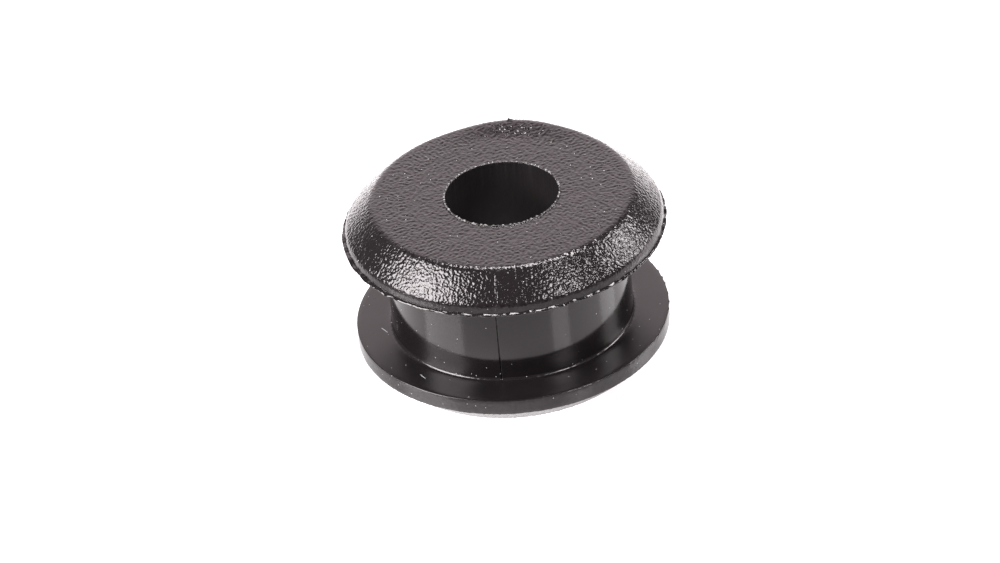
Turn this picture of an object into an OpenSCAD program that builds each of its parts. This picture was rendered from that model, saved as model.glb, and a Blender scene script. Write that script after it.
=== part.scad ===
// Moulded rubber bushing: a spool with a plain bore, a panel groove and two bevelled flanges.
// It stands on its lower face, centred on the Z axis. All sizes are in millimetres.

/* [Bore] */
// Diameter of the through bore
bore_d = 5; // [2:0.1:8]
// Radius that breaks the bore's lower mouth
mouth_r = 0.1; // [0.05:0.05:0.4]
// Width of the raised lip that the core pin leaves round the upper mouth
lip_w = 0.09; // [0.05:0.01:0.3]
// Height of that lip above the top face
lip_h = 0.03; // [0.01:0.01:0.1]

/* [Neck and groove] */
// Diameter of the neck, which fills the hole in the panel
neck_d = 11; // [9:0.1:14]
// Width of the groove, which takes the panel's thickness
groove_w = 4.55; // [1:0.05:10]
// Fillet at both ends of the neck
root_r = 0.15; // [0.05:0.05:0.4]

/* [Upper flange] */
// How far the flange reaches out beyond the neck
upper_overhang = 1.5; // [1:0.05:4]
// Height of the smooth band round the rim
upper_band_h = 0.45; // [0.2:0.05:2]
// Draft that makes the band wider towards the groove
upper_draft = 0.04; // [0:0.02:0.3]
// Radial width of the bevel between the band and the top face
upper_bevel_w = 1.25; // [0.3:0.05:2.4]
// Height of that bevel
upper_bevel_h = 1.2; // [0.3:0.05:3]
// Radius where the band meets the bevel
band_edge_r = 0.2; // [0.02:0.02:0.3]
// Radius where the bevel meets the top face
top_edge_r = 0.45; // [0.05:0.05:0.6]

/* [Lower flange] */
// How far the flange reaches out beyond the neck
lower_overhang = 1.45; // [1:0.05:4]
// Height of the straight band round the rim
lower_band_h = 0.7; // [0.3:0.05:3]
// Radial width of the bevel between the band and the bottom face
lower_bevel_w = 1.2; // [0.3:0.05:2.4]
// Height of that bevel
lower_bevel_h = 1.1; // [0.3:0.05:3]
// Radius on the edges of the lower flange
lower_edge_r = 0.04; // [0.02:0.02:0.2]

/* [Mould marks] */
// How far the flash stands out round the upper rim's lower edge
flash_out = 0.11; // [0.02:0.01:0.2]
// Thickness of that flash
flash_t = 0.1; // [0.03:0.01:0.15]
// How far the seam of the two mould halves stands out
seam_out = 0.03; // [0.01:0.01:0.1]
// Width of that seam
seam_w = 0.07; // [0.03:0.01:0.15]

/* [Hidden] */
$fn = 96;
ROUND_STEPS = 4;
RUBBER = [0.25, 0.235, 0.24];

bore_r = bore_d / 2;
neck_r = neck_d / 2;
upper_r = neck_r + upper_overhang;
lower_r = neck_r + lower_overhang;
top_face_r = upper_r - upper_bevel_w;
bottom_face_r = lower_r - lower_bevel_w;
rim_r = upper_r + upper_draft;

// Heights of the levels above the bottom face
lower_band_z = lower_bevel_h;
groove_floor_z = lower_band_z + lower_band_h;
groove_roof_z = groove_floor_z + groove_w;
upper_bevel_z = groove_roof_z + upper_band_h;
top_z = upper_bevel_z + upper_bevel_h;

function unit(v) = v / norm(v);

// Points of the arc of radius rad that rounds the corner `at` between its two neighbours.
// The arc never takes more than 0.45 of either side.
function rounded(prev, at, next, rad) =
    let (to_prev = unit(prev - at),
         to_next = unit(next - at),
         half = acos(to_prev * to_next) / 2,
         cut = min(rad / tan(half), 0.45 * norm(prev - at), 0.45 * norm(next - at)),
         r = cut * tan(half),
         centre = at + unit(to_prev + to_next) * r / sin(half),
         first = at + to_prev * cut - centre,
         start = atan2(first[1], first[0]),
         turn = sign(cross(at - prev, next - at)) * (180 - 2 * half))
    [for (i = [0 : ROUND_STEPS])
        let (angle = start + turn * i / ROUND_STEPS)
        centre + r * [cos(angle), sin(angle)]];

// Outline from corners given as [radius, height, rounding], run anticlockwise.
function outline(corners) =
    let (count = len(corners))
    [for (i = [0 : count - 1])
        let (c = corners[i],
             p = corners[(i + count - 1) % count],
             n = corners[(i + 1) % count])
        each c[2] > 0
            ? rounded([p[0], p[1]], [c[0], c[1]], [n[0], n[1]], c[2])
            : [[c[0], c[1]]]];

// Half section of the spool. `proud` moves the surfaces that the mould halves form outwards.
function section(proud) = outline([
    [bore_r, 0, mouth_r],
    [bottom_face_r, 0, lower_edge_r],
    [lower_r + proud, lower_band_z, lower_edge_r],
    [lower_r + proud, groove_floor_z + proud, lower_edge_r],
    [neck_r + proud, groove_floor_z + proud, root_r],
    [neck_r + proud, groove_roof_z - proud, root_r],
    [rim_r + proud, groove_roof_z - proud, 0],
    [upper_r + proud, upper_bevel_z, band_edge_r],
    [top_face_r, top_z, top_edge_r],
    [bore_r, top_z, 0]
]);

module spool() {
    rotate_extrude() polygon(section(0));
}

// Raised ring round the upper mouth, flush with the bore
module mouth_lip() {
    rotate_extrude()
        translate([bore_r, top_z - lip_w])
            square([lip_w, lip_w + lip_h]);
}

// Thin skirt of rubber squeezed out where the upper flange's two mould plates met
module rim_flash() {
    rotate_extrude()
        translate([neck_r + upper_overhang / 2, groove_roof_z])
            square([rim_r + flash_out - neck_r - upper_overhang / 2, flash_t]);
}

// The seam runs down the front and the back, in the YZ plane
module mould_seam() {
    for (side = [-90, 90])
        rotate([90, 0, side])
            linear_extrude(seam_w, center = true)
                polygon(section(seam_out));
}

module bushing() {
    color(RUBBER)
    union() {
        spool();
        mouth_lip();
        rim_flash();
        mould_seam();
    }
}

bushing();
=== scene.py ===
"""Looks of the moulded rubber bushing: one revolved skin with grain, flash and seams, in a white studio."""

import math

import bpy
import numpy as np
from mathutils import Matrix, Vector


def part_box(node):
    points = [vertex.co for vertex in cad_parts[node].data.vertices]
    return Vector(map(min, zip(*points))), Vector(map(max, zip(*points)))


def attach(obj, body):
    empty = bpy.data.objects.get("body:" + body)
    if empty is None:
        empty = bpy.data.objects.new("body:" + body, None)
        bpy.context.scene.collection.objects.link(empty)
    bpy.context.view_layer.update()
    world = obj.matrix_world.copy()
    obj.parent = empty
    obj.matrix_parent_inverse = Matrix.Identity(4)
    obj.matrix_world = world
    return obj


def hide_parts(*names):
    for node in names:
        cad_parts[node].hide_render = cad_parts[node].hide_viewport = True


MM = 0.001

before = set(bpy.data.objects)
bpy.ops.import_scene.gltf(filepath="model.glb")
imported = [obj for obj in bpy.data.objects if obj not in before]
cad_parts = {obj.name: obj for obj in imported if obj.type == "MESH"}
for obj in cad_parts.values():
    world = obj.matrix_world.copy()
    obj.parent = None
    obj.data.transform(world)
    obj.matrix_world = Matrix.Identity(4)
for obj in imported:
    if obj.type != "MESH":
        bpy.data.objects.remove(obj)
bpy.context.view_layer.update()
top_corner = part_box("bushing")[1]

# ---------------------------------------------------------------- sizes of the section, in millimetres
# The spool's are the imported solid's, but its neck is 0.12 mm slimmer in radius and the upper edge of its
# upper band is rounder. The lip, the flash and the seams have finer outlines of their own
BORE_R = 2.5
MOUTH_R = 0.1
NECK_R = 5.38
ROOT_R = 0.15

# Upper flange: a smooth band with a little draft, a bevel and a rounding up to the flat top face
UPPER_R = 7.0
UPPER_DRAFT = 0.04
UPPER_BAND_H = 0.45
UPPER_BEVEL_W = 1.25
UPPER_BEVEL_H = 1.2
BAND_EDGE_R = 0.35
TOP_EDGE_R = 0.45

# Lower flange: a straight band with a bevel underneath
LOWER_R = 6.95
LOWER_BAND_H = 0.7
LOWER_BEVEL_W = 1.2
LOWER_BEVEL_H = 1.1
LOWER_EDGE_R = 0.04

# Lip round the upper mouth. Its beads rise above the even crest, and a shallow dip lies at its foot
LIP_H = 0.03
LIP_W = 0.078
LIP_CREST = 0.7 * LIP_H
DIP_W = 0.01
DIP_D = 0.012

# Flash at the lower edge of the upper rim: how far it stands out and how thick it is
FLASH_OUT = 0.135
FLASH_T = 0.13
# How far its upper face slopes down, how far its lower face rises, how wide the step at its root is,
# and how far out its edge starts to bend
FLASH_SLOPE = 0.041
FLASH_RISE = 0.035
FLASH_STEP = 0.035
FLASH_HINGE = 0.117

TOP_Z = top_corner.z / MM - LIP_H
RIM_R = UPPER_R + UPPER_DRAFT
FLAT_R = UPPER_R - UPPER_BEVEL_W
UPPER_BEVEL_Z = TOP_Z - UPPER_BEVEL_H
ROOF_Z = UPPER_BEVEL_Z - UPPER_BAND_H
FLOOR_Z = LOWER_BEVEL_H + LOWER_BAND_H
FLASH_Z = ROOF_Z + FLASH_T

# ---------------------------------------------------------------- camera, as the photograph sees the part
CAMERA_AZIMUTH = math.radians(8.3)
CAMERA_ELEVATION = math.radians(34.15)
CAMERA_ROLL = math.radians(5.49)
CAMERA_DISTANCE = 250 * MM
PIXELS_PER_MM = 22.83
FRAME_WIDTH_PX = 1000
SENSOR_MM = 36.0
CLIP_START = 10 * MM
CLIP_END = 20
# Where the optical axis passes, from the middle of the top face, along the unrolled view axes
AIM_RIGHT = -0.444 * MM
AIM_UP = -3.825 * MM


def view_direction(azimuth, elevation):
    """Unit vector from the part towards a point seen at that azimuth, measured to the right of -Y."""
    return Vector((
        math.sin(azimuth) * math.cos(elevation),
        -math.cos(azimuth) * math.cos(elevation),
        math.sin(elevation),
    ))


def beside_camera(azimuth, elevation):
    """Unit vector towards an azimuth to the right of the camera and an elevation, both in degrees."""
    return view_direction(CAMERA_AZIMUTH + math.radians(azimuth), math.radians(elevation))


def make_camera():
    towards = view_direction(CAMERA_AZIMUTH, CAMERA_ELEVATION)
    right = Vector((math.cos(CAMERA_AZIMUTH), math.sin(CAMERA_AZIMUTH), 0))
    up = towards.cross(right)
    aim = Vector((0, 0, TOP_Z * MM)) + right * AIM_RIGHT + up * AIM_UP
    rolled_right = right * math.cos(CAMERA_ROLL) - up * math.sin(CAMERA_ROLL)
    rolled_up = right * math.sin(CAMERA_ROLL) + up * math.cos(CAMERA_ROLL)
    data = bpy.data.cameras.new("camera")
    data.sensor_width = SENSOR_MM
    focal_px = PIXELS_PER_MM * CAMERA_DISTANCE / MM
    data.lens = focal_px / FRAME_WIDTH_PX * SENSOR_MM
    data.clip_start = CLIP_START
    data.clip_end = CLIP_END
    camera = bpy.data.objects.new("camera", data)
    axes = Matrix((rolled_right, rolled_up, towards)).transposed().to_4x4()
    camera.matrix_world = Matrix.Translation(aim + towards * CAMERA_DISTANCE) @ axes
    bpy.context.scene.collection.objects.link(camera)
    bpy.context.scene.camera = camera


# ---------------------------------------------------------------- noise fields
def band_noise(points, shortest, longest, waves, seed):
    """Random ripples whose wavelengths lie between two lengths, about 1 in standard deviation."""
    draw = np.random.default_rng(seed)
    directions = draw.normal(size=(waves, 3))
    directions /= np.linalg.norm(directions, axis=1)[:, None]
    lengths = draw.uniform(shortest, longest, waves)
    wave_vectors = directions * (2 * math.pi / lengths)[:, None]
    phases = draw.uniform(0, 2 * math.pi, waves)
    total = np.zeros(len(points))
    for wave_vector, phase in zip(wave_vectors, phases):
        total += np.cos(points @ wave_vector + phase)
    return total * math.sqrt(2 / waves)


def ring_noise(angles, lowest, highest, seed):
    """Random ripples round the axis, whole waves per turn, about 1 in standard deviation."""
    draw = np.random.default_rng(seed)
    counts = np.arange(lowest, highest + 1)
    phases = draw.uniform(0, 2 * math.pi, len(counts))
    weights = draw.normal(size=len(counts))
    total = np.zeros_like(angles)
    for count, phase, weight in zip(counts, phases, weights):
        total += weight * np.cos(count * angles + phase)
    return total / math.sqrt(np.sum(weights ** 2) / 2)


def ring_waves(angles, waves):
    """Sum of ring noises, each given as its height, fewest and most waves per turn, and seed."""
    return sum(height * ring_noise(angles, fewest, most, seed) for height, fewest, most, seed in waves)


def ease(none, full, value):
    """0 at one value and beyond it, 1 at the other and beyond it, and smooth between them."""
    t = np.clip((value - none) / (full - none), 0, 1)
    return t * t * (3 - 2 * t)


# ---------------------------------------------------------------- the skin's half section
FINE_ROW = 0.0575
ARC_ROW = 0.06
# Inside this radius the top face has coarse rings
COARSE_R = 4.3
FLAT_GRAIN = 0.5
# The bore's wall has close rows just under the lip, at these depths
CLOSE_ROWS_D = (0.02, 0.06)
# A rounding takes at most this share of the sides that it joins
ROUNDING_SHARE = 0.45

# Each corner is [radius, height, rounding], then what the side after it has:
# row spacing, grain, mattness, and whether its rings are fine ones
SECTION = [
    [BORE_R, 0, MOUTH_R, 0.5, 1, 0.4, False],
    [LOWER_R - LOWER_BEVEL_W, 0, LOWER_EDGE_R, 0.2, 1, 0.4, False],
    [LOWER_R, LOWER_BEVEL_H, LOWER_EDGE_R, 0.15, 0.22, 0.3, False],
    [LOWER_R, FLOOR_Z, LOWER_EDGE_R, 0.2, 0, 0.6, False],
    [NECK_R, FLOOR_Z, ROOT_R, 0.45, 0, 0, False],
    [NECK_R, ROOF_Z, ROOT_R, 0.3, 0, 0.2, False],
    [RIM_R, ROOF_Z, 0, 0.15, 0, 0, True],
    [RIM_R + FLASH_OUT, ROOF_Z + FLASH_RISE, 0.02, 0.04, 0, 0, True],
    [RIM_R + FLASH_OUT, FLASH_Z - FLASH_SLOPE, 0.04, 0.025, 0, 0, True],
    [RIM_R + FLASH_HINGE, FLASH_Z - 0.8 * FLASH_SLOPE, 0, 0.05, 0, 0, True],
    [RIM_R + FLASH_STEP, FLASH_Z, 0.01, 0.05, 0, 0, True],
    [RIM_R, FLASH_Z, 0.01, 0.05, 0.3, 0.2, True],
    [UPPER_R, UPPER_BEVEL_Z, BAND_EDGE_R, FINE_ROW, 1, 0, True],
    [FLAT_R, TOP_Z, TOP_EDGE_R, FINE_ROW, FLAT_GRAIN, 0, True],
    [COARSE_R, TOP_Z, 0, FINE_ROW, FLAT_GRAIN, 0, False],
    [BORE_R + LIP_W + DIP_W, TOP_Z - DIP_D, 0, 0.02, 0, 0, False],
    [BORE_R + LIP_W, TOP_Z + LIP_CREST, 0.025, 0.03, 0, 0, False],
    [BORE_R, TOP_Z + LIP_CREST, 0.03, 0.05, 0, 1, False],
    [BORE_R, TOP_Z - CLOSE_ROWS_D[0], 0, 0.05, 0, 1, False],
    [BORE_R, TOP_Z - CLOSE_ROWS_D[1], 0, 1.5, 0, 1, False],
]


def rounded(before, at, after, radius):
    """Points of the arc that rounds a corner, or the corner itself."""
    if radius == 0:
        return [at]
    back = before - at
    ahead = after - at
    back_length = np.linalg.norm(back)
    ahead_length = np.linalg.norm(ahead)
    back = back / back_length
    ahead = ahead / ahead_length
    half = math.acos(float(back @ ahead)) / 2
    cut = min(radius / math.tan(half), ROUNDING_SHARE * back_length, ROUNDING_SHARE * ahead_length)
    middle = back + ahead
    centre = at + middle / np.linalg.norm(middle) * cut / math.cos(half)
    first = at + back * cut - centre
    start = math.atan2(first[1], first[0])
    crossed = ahead[0] * back[1] - ahead[1] * back[0]
    turn = math.copysign(math.pi - 2 * half, crossed)
    size = cut * math.tan(half)
    steps = max(2, math.ceil(size * abs(turn) / ARC_ROW))
    angles = [start + turn * i / steps for i in range(steps + 1)]
    return [centre + size * np.array((math.cos(a), math.sin(a))) for a in angles]


def section_rows():
    """Rows of the skin: radius, height, grain, mattness and whether the ring is a fine one."""
    rows = []
    corners = [np.array(corner[:2], dtype=float) for corner in SECTION]
    count = len(SECTION)
    arcs = [
        rounded(corners[i - 1], corners[i], corners[(i + 1) % count], SECTION[i][2])
        for i in range(count)
    ]
    for i, (_, _, _, spacing, grain, matt, fine) in enumerate(SECTION):
        grain_before, matt_before, fine_before = SECTION[i - 1][4:]
        for k, point in enumerate(arcs[i]):
            share = k / max(1, len(arcs[i]) - 1)
            arc_grain = grain_before + share * (grain - grain_before)
            arc_matt = matt_before + share * (matt - matt_before)
            rows.append((point[0], point[1], arc_grain, arc_matt, fine or fine_before))
        first = arcs[i][-1]
        last = arcs[(i + 1) % count][0]
        steps = max(1, round(float(np.linalg.norm(last - first)) / spacing))
        for k in range(1, steps):
            point = first + (last - first) * k / steps
            rows.append((point[0], point[1], grain, matt, fine))
    return rows


# ---------------------------------------------------------------- the skin's rings
COARSE_COLUMNS = 384
# The seams of the two mould halves run down the front and the back. The upper flange's stand round a little
SEAMS = (-math.pi / 2, math.pi / 2)
SEAM_TWIST = math.radians(2.4)
SEAM_HALF_W = 0.035
SEAM_COLUMNS = [side * share * SEAM_HALF_W for side in (-1, 1) for share in (0.5, 1, 1.3)]
# Room left when a band of rows is picked by its radius or height
SLACK = 0.01


def seam_shift(height):
    """How far the seam of the upper flange stands round from that of the neck."""
    return SEAM_TWIST * ease(ROOF_Z - SLACK, ROOF_Z + SLACK, height)


def column_angles(radius, height):
    """Column angles of a coarse ring, with extra columns a fixed distance to each side of the seams."""
    step = 2 * math.pi / COARSE_COLUMNS
    angles = [i * step + seam_shift(height) for i in range(COARSE_COLUMNS)]
    for seam in SEAMS:
        for distance in SEAM_COLUMNS:
            angles.append((seam + seam_shift(height) + distance / radius) % (2 * math.pi))
    return np.sort(np.array(angles) % (2 * math.pi))


def finer(angles):
    """The same columns with one more in the middle of each gap."""
    following = np.roll(angles, -1)
    following[-1] += 2 * math.pi
    return np.stack((angles, (angles + following) / 2), axis=1).ravel()


def plain_skin(rows):
    """The skin without its detail: each ring's vertex numbers, then what each vertex has.

    That is its radius, height, angle, grain, mattness, and how far its normal points out and up.
    """
    rings = []
    columns_of = []
    start = 0
    for radius, height, _, _, is_fine in rows:
        columns = column_angles(radius, height)
        if is_fine:
            columns = finer(columns)
        rings.append(np.arange(start, start + len(columns)))
        columns_of.append(columns)
        start += len(columns)

    normals = []
    for k, columns in enumerate(columns_of):
        before = np.array(rows[k - 1][:2])
        after = np.array(rows[(k + 1) % len(rows)][:2])
        along = (after - before) / np.linalg.norm(after - before)
        normals.append(np.tile((along[1], -along[0]), (len(columns), 1)))

    sizes = [len(ring) for ring in rings]
    radii, heights, grains, matts = (
        np.repeat([float(row[i]) for row in rows], sizes) for i in range(4)
    )
    return rings, radii, heights, np.concatenate(columns_of), grains, matts, np.concatenate(normals)


def stitch(lower, upper):
    """Faces between two rings of vertex numbers, where one may have twice as many as the other."""
    faces = []
    n, m = len(lower), len(upper)
    if n == m:
        for i in range(n):
            j = (i + 1) % n
            faces.append((lower[i], lower[j], upper[j], upper[i]))
    elif m == 2 * n:
        for i in range(n):
            j = (i + 1) % n
            faces.append((lower[i], upper[2 * i + 1], upper[2 * i]))
            faces.append((lower[i], lower[j], upper[2 * i + 1]))
            faces.append((lower[j], upper[(2 * i + 2) % m], upper[2 * i + 1]))
    else:
        for i in range(m):
            j = (i + 1) % m
            faces.append((upper[i], lower[2 * i], lower[2 * i + 1]))
            faces.append((upper[i], lower[2 * i + 1], upper[j]))
            faces.append((upper[j], lower[2 * i + 1], lower[(2 * i + 2) % n]))
    return faces


# ---------------------------------------------------------------- flash, torn bits and lip
# Waves round the flash, as ring_waves takes them: of its outline, of its level and of its torn edge
OUTLINE_WAVES = ((0.012, 12, 60, 11), (0.006, 90, 230, 12))
LEVEL_WAVES = ((0.015, 20, 70, 13), (0.004, 70, 200, 15))
TORN_WAVES = ((0.009, 35, 110, 19),)
LEVEL_LIMITS = (-0.045, 0.05)
TORN_LIMIT = 0.02
# Notches in it, where this noise passes its threshold
NOTCH_NOISE = (40, 180, 16)
NOTCH_THRESHOLD = 1.8
NOTCH_DEPTH = 0.1
# How far in and out its outline may go, before and after the trim on the camera's right
OUTLINE_LIMITS = (-0.085, 0.015)
TRIMMED_LIMITS = (-0.09, 0.015)
TRIM_AZIMUTH = math.radians(75)
TRIM = 0.035
# Where it droops: azimuth to the right of -Y, over how many degrees to each side, and how far
DROOPS = ((-42, 26, 0.022), (64, 14, 0.035))
DROOP_BLUR = 0.2
# The share of its edge's tears that each millimetre of droop takes away
DROOP_SMOOTHING = 28
# Its waves grow between these shares of its thickness, and die out this far above it
FLASH_GROWS = (0.25, 0.5)
FLASH_BLEND = 0.16

# Torn bits on the lower flange's upper edge, round its right-hand side and this far above and below the edge
BIT_NOISE = (60, 180, 31)
BIT_THRESHOLD = 0.7
BIT_HEIGHT = 0.045
BIT_MIDDLE = math.radians(-5)
BIT_REACH = 0.06

# Beads of the broken lip, and how far down and up they may go
BEAD_NOISE = (15, 105, 14)
BEAD_HEIGHT = 0.02
BEAD_LIMITS = (-0.028, 0.035)
# The beads grow between these shares of the lip's height, and the higher ones are torn
BEADS_GROW = (0.1, 0.5)
TEAR_GAIN = 0.5
TEAR_START = 0.05


def flash_droop(angles):
    """How far the flash hangs down at its two sides."""
    droop = np.zeros_like(angles)
    for middle, reach, depth in DROOPS:
        turned = np.degrees(angles) + 90 - middle
        away = np.abs((turned + 180) % 360 - 180)
        droop += depth * ease((1 + DROOP_BLUR) * reach, (1 - DROOP_BLUR) * reach, away)
    return droop


def with_flash(radii, heights, angles):
    """The flash as a wavy fin with a few notches, narrower to the right of the camera's view."""
    at_level = (heights > ROOF_Z - SLACK) & (heights < FLASH_Z + 2 * SLACK)
    in_flash = np.clip((radii - RIM_R) / FLASH_OUT, 0, 1) * at_level
    at_edge = ease(RIM_R + FLASH_HINGE, RIM_R + FLASH_OUT - SLACK, radii)
    droop = flash_droop(angles)

    to_right = 0.5 + 0.5 * np.cos(angles + math.pi / 2 - CAMERA_AZIMUTH - TRIM_AZIMUTH)
    notches = np.clip(ring_noise(angles, *NOTCH_NOISE) - NOTCH_THRESHOLD, 0, 1)
    outline = np.clip(ring_waves(angles, OUTLINE_WAVES) - NOTCH_DEPTH * notches, *OUTLINE_LIMITS)
    trimmed = outline - TRIM * to_right ** 2
    radii = radii + in_flash * np.clip(trimmed, *TRIMMED_LIMITS)

    from_roof, to_full = (ROOF_Z + share * FLASH_T for share in FLASH_GROWS)
    rising = ease(from_roof, to_full, heights) * (radii > NECK_R + 0.5)
    falling = ease(FLASH_Z + FLASH_BLEND, FLASH_Z + SLACK, heights)
    heights = heights + rising * falling * np.clip(ring_waves(angles, LEVEL_WAVES), *LEVEL_LIMITS)
    torn = np.clip(ring_waves(angles, TORN_WAVES), -TORN_LIMIT, TORN_LIMIT)
    heights = heights + rising * at_edge * (torn * (1 - DROOP_SMOOTHING * droop) - droop)
    return radii, heights


def torn_bits(radii, heights, angles):
    """How far a few torn bits stand out from the lower flange's upper edge."""
    on_rim = (radii > LOWER_R - 2 * SLACK) & (np.abs(heights - FLOOR_Z) < BIT_REACH)
    bits = np.clip(ring_noise(angles, *BIT_NOISE) - BIT_THRESHOLD, 0, 1)
    bits = bits * ease(0.1, 0.5, np.cos(angles - BIT_MIDDLE))
    return BIT_HEIGHT * on_rim * bits


def with_broken_lip(radii, heights, angles):
    """Heights with the lip broken into beads, and how torn each point of it is, from 0 to 1."""
    from_face, to_full = (TOP_Z + share * LIP_H for share in BEADS_GROW)
    in_lip = ease(from_face, to_full, heights) * (radii < BORE_R + 1.1 * LIP_W)
    beads = ring_noise(angles, *BEAD_NOISE)
    heights = heights + in_lip * np.clip(BEAD_HEIGHT * beads, *BEAD_LIMITS)
    torn = in_lip * np.clip(TEAR_GAIN * beads - TEAR_START, 0, 1)
    return heights, torn


# ---------------------------------------------------------------- relief that stands out from the section
# Noises for band_noise are shortest and longest ripple, number of ripples, seed
PEBBLES = (0.135, 0.205, 120, 21)
PEBBLE_HEIGHT = 0.0082
PEBBLE_SHARPNESS = 1.1
RIPPLES = (0.13, 0.25, 120, 22)
RIPPLE_HEIGHT = 0.0113
# The ripples fade in between these radii
RIPPLE_FADE = (FLAT_R + 0.1, FLAT_R - 0.4)
# Grain left on the edge between bevel and top face, and the width of that edge
EDGE_GRAIN = 0.9
EDGE_W = 0.16
# The swell of the upper bevel, outside this radius
BEVEL_SWELL = 0.03
BEVEL_SWELL_R = 4

SEAM_HEIGHT = 0.013
SEAM_DEPTH = 0.075
# Share of the seam's height that is left on the lower flange's upper face
LEDGE_SEAM = 0.25
# Where the seam's height is broken: its mean, how much it varies, and its limit
SEAM_BREAKS = (0.15, 0.6, 40, 24)
BREAK_MEAN = 0.6
BREAK_GAIN = 0.5
BREAK_LIMIT = 1.2
# It fades out below the top face and above the bottom face, and starts at this height
SEAM_TOP_FADE = (TOP_Z - 0.05, TOP_Z - 0.5)
SEAM_FOOT_FADE = (0.1, 0.6)
SEAM_FOOT_Z = 0.3

# The torn nib where the far seam ends, and the swell of the edge round it, whose middle is shifted along it
NIB_HEIGHT = 0.10
NIB_WIDTH = 0.27
SWELL_HEIGHT = 0.16
SWELL_HALF_W = 2.1
SWELL_SHIFT = 0.3
SWELL_RADII = (4.4, 5.7)
SWELL_LEVELS = (TOP_Z - 1.1, TOP_Z - 0.2)

# Unevenness of the fillet at the neck's foot: how far its middle is from both faces, its size and its waves
FOOT_OFF = 0.05
FOOT_SIZE = 0.08
FOOT_WAVES = ((0.004, 60, 170, 18),)
# The bottom face is lifted by a little more than its grain, and the lift fades out over this height
UNDERSIDE_LIFT = 1.05 * PEBBLE_HEIGHT
UNDERSIDE_H = 0.3
# Unevenness of the smooth moulded faces
UNEVEN = (1.5, 4.0, 30, 23)
UNEVEN_HEIGHT = 0.0012


def edge_grain(radii, heights):
    """Share of the grain that is left near the edge between bevel and top face."""
    on_edge = np.exp(-(((radii - FLAT_R) / EDGE_W) ** 2)) * (heights > TOP_Z - 0.3)
    return 1 - (1 - EDGE_GRAIN) * on_edge


def grain_relief(points, radii, heights, grains):
    """Spark-eroded pebbles, with gentler ripples on the top face."""
    pebbles = np.tanh(PEBBLE_SHARPNESS * band_noise(points, *PEBBLES))
    ripples = np.tanh(band_noise(points, *RIPPLES))
    inside = ease(*RIPPLE_FADE, radii) * (heights > TOP_Z - 0.1)
    return grains * PEBBLE_HEIGHT * pebbles + inside * RIPPLE_HEIGHT * ripples


def bevel_swell(radii, heights):
    """The upper bevel swells very slightly between its two edges."""
    down_bevel = np.clip((TOP_Z - heights) / UPPER_BEVEL_H, 0, 1)
    on_bevel = (heights > UPPER_BEVEL_Z) & (radii > BEVEL_SWELL_R)
    return BEVEL_SWELL * on_bevel * 4 * down_bevel * (1 - down_bevel)


def seam_relief(points, radii, heights, angles):
    """A fine slot on the neck and a broken ridge elsewhere, at both seams of the two mould halves."""
    near_neck = (radii < NECK_R + 2 * SLACK) & (radii > NECK_R - 0.1)
    on_neck = near_neck & (heights > FLOOR_Z) & (heights < ROOF_Z)
    on_ledge = (heights > FLOOR_Z - 2 * SLACK) & (heights < FLOOR_Z + 0.1) & ~on_neck
    elsewhere = (heights > SEAM_FOOT_Z) & (radii > NECK_R + 2 * SLACK) & ~on_ledge
    fade = ease(*SEAM_TOP_FADE, heights) * ease(*SEAM_FOOT_FADE, heights)
    broken = np.clip(BREAK_MEAN + BREAK_GAIN * band_noise(points, *SEAM_BREAKS), 0, BREAK_LIMIT)
    relief = np.zeros_like(radii)
    for seam in SEAMS:
        away = angles - seam - seam_shift(heights)
        distance = radii * np.abs((away + math.pi) % (2 * math.pi) - math.pi)
        ridge = np.clip(1 - (distance / SEAM_HALF_W) ** 2, 0, None)
        slot = np.clip(1 - distance / SEAM_HALF_W, 0, 1)
        relief = relief - on_neck * SEAM_DEPTH * slot
        relief = relief + on_ledge * LEDGE_SEAM * SEAM_HEIGHT * ridge
        relief = relief + elsewhere * fade * SEAM_HEIGHT * ridge * broken
    return relief


def past_far_seam(radii, angles):
    """Distance round the part from the upper flange's far seam."""
    return (SEAMS[1] + SEAM_TWIST - angles) * radii


def nib_relief(radii, heights, angles):
    """The far seam ends in a torn nib at the edge of the top face."""
    along = past_far_seam(radii, angles)
    tapering = np.clip(1 - along / NIB_WIDTH, 0, 1) * (along > -SLACK)
    over_edge = np.clip(1 - np.abs(radii - FLAT_R) / EDGE_W, 0, 1) * (heights > TOP_Z - 0.2)
    return NIB_HEIGHT * tapering * over_edge


def nib_swell(radii, heights, angles):
    """Round the nib the edge stands up a little, as rubber does where it was torn off its gate."""
    along = past_far_seam(radii, angles)
    swell = np.exp(-(((along - SWELL_SHIFT) / SWELL_HALF_W) ** 2)) * (np.sin(angles) > 0)
    return SWELL_HEIGHT * (swell * ease(*SWELL_RADII, radii) * ease(*SWELL_LEVELS, heights))


def uneven_foot(radii, heights, angles):
    """The fillet at the neck's foot is a little uneven."""
    out = (radii - NECK_R - FOOT_OFF) / FOOT_SIZE
    up = (heights - FLOOR_Z - FOOT_OFF) / FOOT_SIZE
    return np.exp(-(out ** 2) - up ** 2) * ring_waves(angles, FOOT_WAVES)


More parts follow.
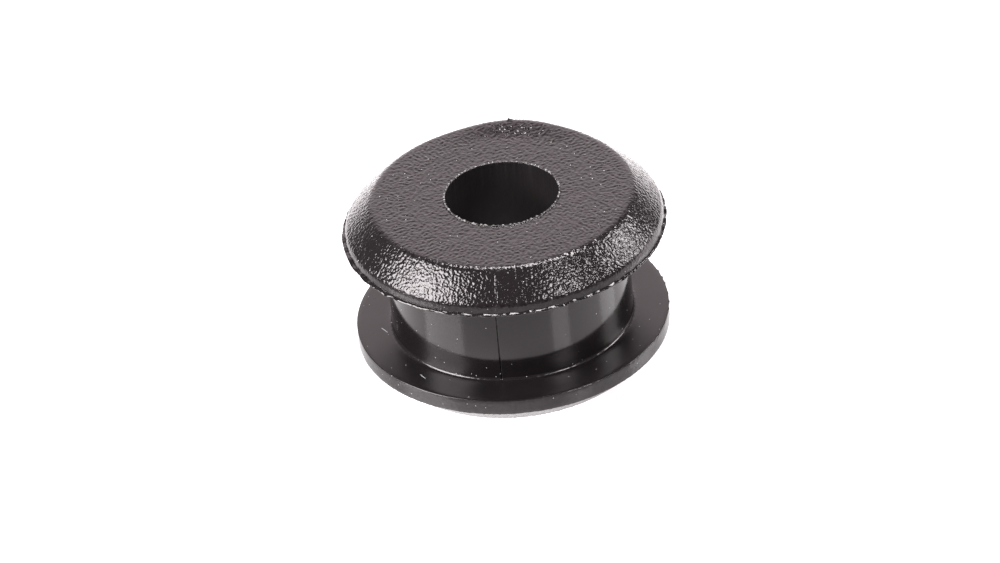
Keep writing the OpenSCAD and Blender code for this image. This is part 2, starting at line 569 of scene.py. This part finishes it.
def make_skin():
    rows = section_rows()
    rings, radii, heights, angles, grains, matts, normals = plain_skin(rows)
    radii, heights = with_flash(radii, heights, angles)
    radii = radii + torn_bits(radii, heights, angles)
    heights, torn = with_broken_lip(radii, heights, angles)
    points = np.stack((radii * np.cos(angles), radii * np.sin(angles), heights), axis=1)
    out, up = normals.T
    outward = np.stack((out * np.cos(angles), out * np.sin(angles), up), axis=1)

    grains = grains * edge_grain(radii, heights)
    relief = grain_relief(points, radii, heights, grains)
    relief = relief + bevel_swell(radii, heights)
    relief = relief + seam_relief(points, radii, heights, angles)
    relief = relief + nib_relief(radii, heights, angles)
    relief = relief + nib_swell(radii, heights, angles)
    relief = relief + uneven_foot(radii, heights, angles)
    # The grain underneath doesn't reach below the plane that the part stands on
    relief = relief - UNDERSIDE_LIFT * ease(UNDERSIDE_H, 0, heights)
    # The smooth moulded faces are slightly uneven
    relief = relief + UNEVEN_HEIGHT * (1 - grains) * band_noise(points, *UNEVEN)
    points = points + outward * relief[:, None]

    faces = []
    for k, ring in enumerate(rings):
        faces += stitch(ring, rings[(k + 1) % len(rings)])
    mesh = bpy.data.meshes.new("bushing_skin")
    mesh.from_pydata((points * MM).tolist(), [], [tuple(int(v) for v in face) for face in faces])
    mesh.update()
    mesh.polygons.foreach_set("use_smooth", [True] * len(mesh.polygons))
    for name, values in (("grain", grains), ("torn", torn), ("matt", matts)):
        attribute = mesh.attributes.new(name, "FLOAT", "POINT")
        attribute.data.foreach_set("value", values.astype(np.float32))
    skin = bpy.data.objects.new("bushing_skin", mesh)
    bpy.context.scene.collection.objects.link(skin)
    return skin


# ---------------------------------------------------------------- node helpers
def make_node(tree, kind, inputs, **settings):
    """A node with its settings, and with each input given a fixed value or linked to another's output."""
    made = tree.nodes.new("ShaderNode" + kind)
    for name, value in settings.items():
        setattr(made, name, value)
    for name, value in inputs.items():
        if isinstance(value, bpy.types.NodeSocket):
            tree.links.new(value, made.inputs[name])
        else:
            made.inputs[name].default_value = value
    return made


def math_node(tree, operation, first, second=0.0):
    return make_node(tree, "Math", {0: first, 1: second}, operation=operation).outputs[0]


def vector_math(tree, operation, first, second=(0, 0, 0)):
    made = make_node(tree, "VectorMath", {0: first, 1: second}, operation=operation)
    gives_number = operation in ("DOT_PRODUCT", "DISTANCE", "LENGTH")
    return made.outputs["Value" if gives_number else "Vector"]


def map_range(tree, value, from_min, from_max, to_min=0.0, to_max=1.0, shape="LINEAR"):
    inputs = {"Value": value, "From Min": from_min, "From Max": from_max, "To Min": to_min, "To Max": to_max}
    return make_node(tree, "MapRange", inputs, interpolation_type=shape).outputs["Result"]


def mix_colours(tree, share, first, second):
    """Colour that goes from the first to the second as the share goes from 0 to 1."""
    inputs = {"Factor": share, "A": first, "B": second}
    return make_node(tree, "Mix", inputs, data_type="RGBA").outputs["Result"]


def noise(tree, place, scale, detail):
    inputs = {"Vector": place, "Scale": scale, "Detail": detail}
    return make_node(tree, "TexNoise", inputs).outputs["Fac"]


def cell_distance(tree, place, scale, feature):
    """Distance from the nearest scattered point, or from the nearest edge between two of their cells."""
    inputs = {"Vector": place, "Scale": scale}
    return make_node(tree, "TexVoronoi", inputs, feature=feature).outputs["Distance"]


def point_value(tree, name):
    """A value that the skin's mesh holds at each point."""
    return make_node(tree, "Attribute", {}, attribute_name=name).outputs["Fac"]


# ---------------------------------------------------------------- rubber
RUBBER_IOR = 1.5
RUBBER_SPECULAR = (1.0, 0.93, 0.947, 1)
RUBBER_DARKER = (0.0065, 0.0052, 0.0056, 1)
RUBBER_LIGHTER = (0.0100, 0.0082, 0.0087, 1)
# Darker and paler colours of fine flecks of painted sheen, which stand in for the grain's varying shine
SHEEN_FLECK_DARKER = (0.0030, 0.0024, 0.0026, 1)
SHEEN_FLECK_LIGHTER = (0.0165, 0.0135, 0.0145, 1)
DUST_COLOUR = (0.40, 0.385, 0.39, 1)
TORN_COLOUR = (0.30, 0.29, 0.29, 1)

# Noises are scale and detail, where a scale is in cells per metre
BLOTCHES = (900.0, 3.0)
# The noise of the painted sheen flecks, and the part of it over which they go from darker to paler
SHEEN_FLECKS = (7000.0, 0.5)
SHEEN_FLECK_RANGE = (0.3, 0.7)
WEAR = (2500.0, 4.0)
FINE_PEBBLES = (9500.0, 0.3)
FINE_PEBBLE_HEIGHT = 0.026 * MM
# Grooves between cells: their scale, their half width as a share of a cell, and their depth
GROOVE_SCALE = 6500.0
GROOVE_HALF_W = 0.14
GROOVE_DEPTH = 0.002 * MM

# Roughness of the smooth faces, and what grain, wear, dust, mattness and tears add to it
SMOOTH_ROUGHNESS = 0.11
GRAIN_ROUGHNESS = 0.02
WEAR_ROUGHNESS = 0.06
DUST_ROUGHNESS = 0.6
MATT_ROUGHNESS = 0.3
TORN_ROUGHNESS = 0.25

# Dust specks: the scale of their scatter, and how near to its points they begin and are full,
# as shares of a cell
SPECK_SCALE = 2400.0
SPECK_BEGINS = 0.066
SPECK_FULL = 0.045
# Only the bore is more matt than this, and it has no dust
DUSTLESS_MATT = 0.7
# Fibres of dust that lie on the lower flange, from one end to the other
FIBRES = (((-5.74, -1.28), (-5.44, -1.62)), ((-3.63, -4.89), (-3.38, -5.18)), ((0.40, -5.32), (0.60, -5.37)))
FIBRE_HALF_W = 0.018


def on_fibre(tree, place, first, second):
    """1 on a short straight fibre on the lower flange's upper face, 0 elsewhere."""
    start = Vector((*first, FLOOR_Z)) * MM
    end = Vector((*second, FLOOR_Z)) * MM
    heading = (end - start).normalized()
    offset = vector_math(tree, "SUBTRACT", place, (start + end) / 2)
    along = math_node(tree, "ABSOLUTE", vector_math(tree, "DOT_PRODUCT", offset, heading))
    beside = vector_math(tree, "LENGTH", vector_math(tree, "CROSS_PRODUCT", offset, heading))
    within = math_node(tree, "LESS_THAN", along, (end - start).length / 2)
    return math_node(tree, "MULTIPLY", within, math_node(tree, "LESS_THAN", beside, FIBRE_HALF_W * MM))


def dust(tree, place, matt):
    """1 on a few fibres and on sparse specks, where the surface passes close to a scattered point."""
    speck = map_range(tree, cell_distance(tree, place, SPECK_SCALE, "F1"), SPECK_BEGINS, SPECK_FULL)
    dusty = math_node(tree, "MULTIPLY", speck, math_node(tree, "LESS_THAN", matt, DUSTLESS_MATT))
    for first, second in FIBRES:
        dusty = math_node(tree, "MAXIMUM", dusty, on_fibre(tree, place, first, second))
    return dusty


def rubber_colour(tree, place, grain_share, dusty, torn):
    """Nearly black with soft blotches, fine flecks of painted sheen on the partly grained faces, dust and a
    paler torn lip.
    """
    plain = mix_colours(tree, noise(tree, place, *BLOTCHES), RUBBER_DARKER, RUBBER_LIGHTER)
    sheen_share = map_range(tree, noise(tree, place, *SHEEN_FLECKS), *SHEEN_FLECK_RANGE)
    sheen_flecked = mix_colours(tree, sheen_share, SHEEN_FLECK_DARKER, SHEEN_FLECK_LIGHTER)
    # The flecks of painted sheen, darker and paler colour that stands in for the grain's varying shine, are
    # finer than the grain
    # and lie on what is grained in part: the top face and the flanges' bands. This product is 1 at half
    # grain, and 0 at none and at full grain
    not_grained = math_node(tree, "SUBTRACT", 1.0, grain_share)
    half_grained = math_node(tree, "MULTIPLY", math_node(tree, "MULTIPLY", grain_share, not_grained), 4.0)
    faced = mix_colours(tree, half_grained, plain, sheen_flecked)
    dusted = mix_colours(tree, dusty, faced, DUST_COLOUR)
    return mix_colours(tree, torn, dusted, TORN_COLOUR)


def rubber_roughness(tree, place, grain_share, matt, dusty, torn):
    """Glossy where it is smooth and clean, and duller in the bore, under dust and on the torn lip."""
    wander = math_node(tree, "SUBTRACT", noise(tree, place, *WEAR), 0.5)
    wander = math_node(tree, "MULTIPLY", wander, WEAR_ROUGHNESS)
    grained = math_node(tree, "MULTIPLY", grain_share, GRAIN_ROUGHNESS)
    clean = math_node(tree, "ADD", math_node(tree, "ADD", grained, SMOOTH_ROUGHNESS), wander)
    dust_dull = math_node(tree, "MULTIPLY", dusty, DUST_ROUGHNESS)
    matt_dull = math_node(tree, "MULTIPLY", matt, MATT_ROUGHNESS)
    torn_dull = math_node(tree, "MULTIPLY", torn, TORN_ROUGHNESS)
    dull = math_node(tree, "ADD", dust_dull, matt_dull)
    return math_node(tree, "ADD", math_node(tree, "ADD", clean, dull), torn_dull)


def rubber_bump(tree, place, grain_share):
    """Pebbles finer than those in the mesh, with grooves between them."""
    pebbles = math_node(tree, "MULTIPLY", noise(tree, place, *FINE_PEBBLES), grain_share)
    pebbled = make_node(tree, "Bump", {"Strength": 1.0, "Distance": FINE_PEBBLE_HEIGHT, "Height": pebbles})
    from_edge = cell_distance(tree, place, GROOVE_SCALE, "DISTANCE_TO_EDGE")
    beside_groove = map_range(tree, from_edge, 0.0, GROOVE_HALF_W, shape="SMOOTHSTEP")
    inputs = {
        "Strength": 1.0,
        "Distance": GROOVE_DEPTH,
        "Height": math_node(tree, "MULTIPLY", beside_groove, grain_share),
        "Normal": pebbled.outputs["Normal"],
    }
    return make_node(tree, "Bump", inputs).outputs["Normal"]


def rubber_material():
    material = bpy.data.materials.new("black_rubber")
    material.use_nodes = True
    tree = material.node_tree
    tree.nodes.clear()
    place = tree.nodes.new("ShaderNodeTexCoord").outputs["Object"]
    grain_share = point_value(tree, "grain")
    torn = point_value(tree, "torn")
    matt = point_value(tree, "matt")
    dusty = dust(tree, place, matt)
    shader = make_node(tree, "BsdfPrincipled", {
        "IOR": RUBBER_IOR,
        "Specular Tint": RUBBER_SPECULAR,
        "Base Color": rubber_colour(tree, place, grain_share, dusty, torn),
        "Roughness": rubber_roughness(tree, place, grain_share, matt, dusty, torn),
        "Normal": rubber_bump(tree, place, grain_share),
    })
    make_node(tree, "OutputMaterial", {"Surface": shader.outputs["BSDF"]})
    return material


# ---------------------------------------------------------------- table
TABLE_LEFT = -55 * MM
TABLE_REACH = 300 * MM
TABLE_COLOUR = (0.3, 0.3, 0.3, 1)
TABLE_ROUGHNESS = 0.12
TABLE_GLOW_COLOUR = (1, 0.95, 0.965, 1)
# Its glow grows from front to back, from one value of Y to another
GLOW_Y = (-12 * MM, 25 * MM)
GLOW_STRENGTH = (0.5, 2.2)
# It is brighter in a round spot at the front of the part's foot
SPOT_MIDDLE = (-1.0 * MM, -5.0 * MM, 0)
SPOT_OUTER_R = 6 * MM
SPOT_INNER_R = 2.5 * MM
SPOT_STRENGTH = 0.9


def table_material():
    material = bpy.data.materials.new("white_table")
    material.use_nodes = True
    tree = material.node_tree
    shader = tree.nodes["Principled BSDF"]
    shader.inputs["Base Color"].default_value = TABLE_COLOUR
    shader.inputs["Roughness"].default_value = TABLE_ROUGHNESS
    shader.inputs["Emission Color"].default_value = TABLE_GLOW_COLOUR
    place = tree.nodes.new("ShaderNodeTexCoord").outputs["Object"]
    y = make_node(tree, "SeparateXYZ", {0: place}).outputs["Y"]
    glow = map_range(tree, y, *GLOW_Y, *GLOW_STRENGTH)
    reach = vector_math(tree, "DISTANCE", place, SPOT_MIDDLE)
    spot = map_range(tree, reach, SPOT_OUTER_R, SPOT_INNER_R, 0.0, SPOT_STRENGTH, "SMOOTHSTEP")
    tree.links.new(math_node(tree, "ADD", glow, spot), shader.inputs["Emission Strength"])
    return material


def make_table():
    mesh = bpy.data.meshes.new("table")
    corners = [
        (TABLE_LEFT, -TABLE_REACH, 0),
        (TABLE_REACH, -TABLE_REACH, 0),
        (TABLE_REACH, TABLE_REACH, 0),
        (TABLE_LEFT, TABLE_REACH, 0),
    ]
    mesh.from_pydata(corners, [], [(0, 1, 2, 3)])
    mesh.materials.append(table_material())
    table = bpy.data.objects.new("table", mesh)
    bpy.context.scene.collection.objects.link(table)


# ---------------------------------------------------------------- softboxes and surround
# Softboxes: degrees to the right of the camera, elevation, half angles that they fill, radiance
SOFTBOXES = {
    "left_softbox": (-71, 34, 17, 17, 19.0),
    "right_softbox": (102, 31, 9, 9, 15.0),
    "front_right_softbox": (44, 40, 7, 9, 18.0),
    "overhead_softbox": (147, 76, 19, 5.5, 22.0),
}
SOFTBOX_DISTANCE = 400 * MM

# Bright patches of the surround: degrees to the right of the camera, elevation, how many degrees from
# there they are full and where they end, strength
BACKDROP = (180, 16, 6, 46, 1.68)
RIGHT_WALL = (158, 6, 10, 24, 0.5)
LOW_RIGHT_GLOW = (106, 2, 8, 20, 1.6)
LOW_LEFT_GLOW = (-73, 3, 8, 22, 1.0)
# What gloss sees on top of them, and the least that anything gets from the surround
PATCH_BASE = 0.15
LEAST_LIGHT = 0.2
WHITE = (1, 1, 1, 1)
GLOSS_TINT = (1, 0.9, 0.925, 1)


def make_softbox(name, azimuth, elevation, half_across, half_up, radiance):
    towards = beside_camera(azimuth, elevation)
    data = bpy.data.lights.new(name, "AREA")
    data.shape = "RECTANGLE"
    data.size = 2 * SOFTBOX_DISTANCE * math.tan(math.radians(half_across))
    data.size_y = 2 * SOFTBOX_DISTANCE * math.tan(math.radians(half_up))
    data.energy = radiance * math.pi * data.size * data.size_y
    light = bpy.data.objects.new(name, data)
    facing = towards.to_track_quat("Z", "Y").to_matrix().to_4x4()
    light.matrix_world = Matrix.Translation(towards * SOFTBOX_DISTANCE) @ facing
    light.visible_camera = False
    bpy.context.scene.collection.objects.link(light)


def bright_patch(tree, direction, azimuth, elevation, full, none, strength):
    """The strength within `full` degrees of a direction, falling to 0 at `none` degrees from it."""
    facing = vector_math(tree, "DOT_PRODUCT", direction, beside_camera(azimuth, elevation))
    outer = math.cos(math.radians(none))
    inner = math.cos(math.radians(full))
    share = map_range(tree, facing, outer, inner, shape="SMOOTHSTEP")
    return math_node(tree, "MULTIPLY", share, strength)


def make_world():
    world = bpy.data.worlds.new("studio")
    world.use_nodes = True
    bpy.context.scene.world = world
    tree = world.node_tree
    tree.nodes.clear()
    direction = tree.nodes.new("ShaderNodeTexCoord").outputs["Generated"]
    backdrop = bright_patch(tree, direction, *BACKDROP)
    right_wall = bright_patch(tree, direction, *RIGHT_WALL)
    low_right = bright_patch(tree, direction, *LOW_RIGHT_GLOW)
    low_left = bright_patch(tree, direction, *LOW_LEFT_GLOW)
    walls = math_node(tree, "ADD", math_node(tree, "ADD", right_wall, low_right), low_left)
    radiance = math_node(tree, "ADD", math_node(tree, "MAXIMUM", backdrop, walls), PATCH_BASE)
    path = tree.nodes.new("ShaderNodeLightPath").outputs
    glossy = math_node(tree, "MULTIPLY", radiance, path["Is Glossy Ray"])
    seen = math_node(tree, "MAXIMUM", path["Is Camera Ray"], path["Is Transmission Ray"])
    strength = math_node(tree, "MAXIMUM", math_node(tree, "MAXIMUM", glossy, seen), LEAST_LIGHT)
    background = make_node(tree, "Background", {
        "Color": mix_colours(tree, path["Is Glossy Ray"], WHITE, GLOSS_TINT),
        "Strength": strength,
    })
    make_node(tree, "OutputWorld", {0: background.outputs[0]})


make_camera()
skin = make_skin()
skin.data.materials.append(rubber_material())
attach(skin, "root")
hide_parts("bushing")
make_table()
for box_name, box in SOFTBOXES.items():
    make_softbox(box_name, *box)
make_world()
bpy.context.scene.view_settings.view_transform = "Standard"
